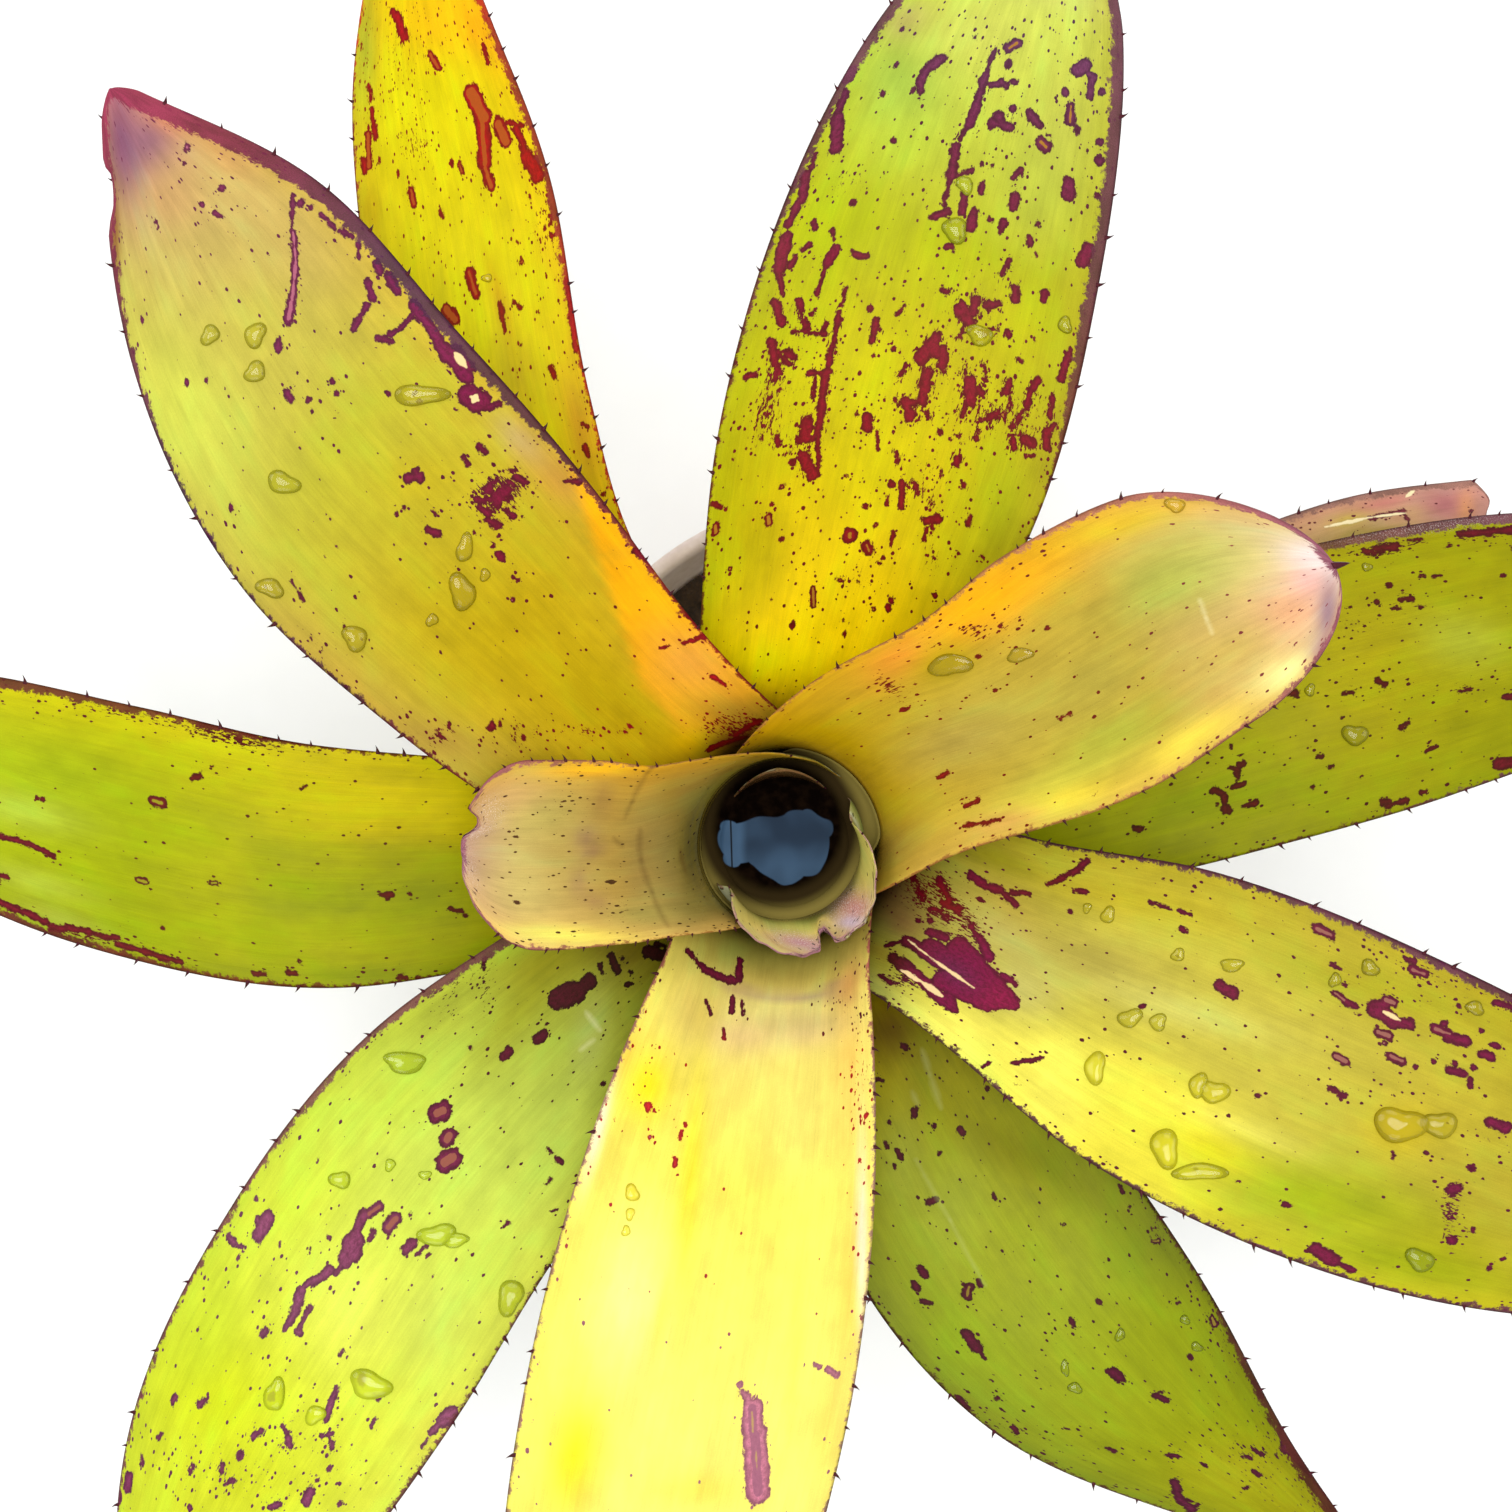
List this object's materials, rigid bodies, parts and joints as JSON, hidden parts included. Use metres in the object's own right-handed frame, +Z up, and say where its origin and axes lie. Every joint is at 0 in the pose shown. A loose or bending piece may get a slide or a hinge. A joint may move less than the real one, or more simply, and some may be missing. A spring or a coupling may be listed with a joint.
{
  "type": "neoregelia bromeliad",
  "caption": "Potted tank bromeliad: an open rosette of broad, spine-edged, speckled strap leaves around a water-filled cup, in a plain tapered pot.",
  "frame": {"origin": "centre of the pot's base, on the surface it stands on", "axes": "+Z up along the pot's axis; +X and +Y lie in the surface, with the widest spread of leaves along X"},
  "size_m": [0.534, 0.4894, 0.2712],
  "materials": {
    "pot": "pale pinkish-white moulded plastic, slightly dusty",
    "soil": "damp dark potting mix with bark",
    "stem": "pale fibrous stem",
    "tank_water": "still dark water",
    "leaf_01": "leathery waxy leaf, maroon spots, bands and spines",
    "leaf_02": "leathery waxy leaf, maroon spots, bands and spines",
    "leaf_03": "leathery waxy leaf, maroon spots, bands and spines",
    "leaf_04": "leathery waxy leaf, maroon spots, bands and spines",
    "leaf_05": "leathery waxy leaf, maroon spots, bands and spines",
    "leaf_06": "leathery waxy leaf, maroon spots, bands and spines",
    "leaf_07": "leathery waxy leaf, maroon spots, bands and spines",
    "leaf_08": "leathery waxy leaf, maroon spots, bands and spines",
    "leaf_09": "leathery waxy leaf, maroon spots, bands and spines",
    "leaf_10": "leathery waxy leaf, maroon spots, bands and spines",
    "leaf_11": "leathery waxy leaf, maroon spots, bands and spines",
    "leaf_12": "leathery waxy leaf, maroon spots, bands and spines",
    "leaf_13": "leathery waxy leaf, maroon spots, bands and spines",
    "leaf_14": "leathery waxy leaf, maroon spots, bands and spines"
  },
  "bodies": {
    "root": {"pot": "pot", "soil": "soil", "stem": "stem", "tank_water": "tank_water", "leaf_01": "leaf_01", "leaf_02": "leaf_02", "leaf_03": "leaf_03", "leaf_04": "leaf_04", "leaf_05": "leaf_05", "leaf_06": "leaf_06", "leaf_07": "leaf_07", "leaf_08": "leaf_08", "leaf_09": "leaf_09", "leaf_10": "leaf_10", "leaf_11": "leaf_11", "leaf_12": "leaf_12", "leaf_13": "leaf_13", "leaf_14": "leaf_14"}
  },
  "joints": []
}
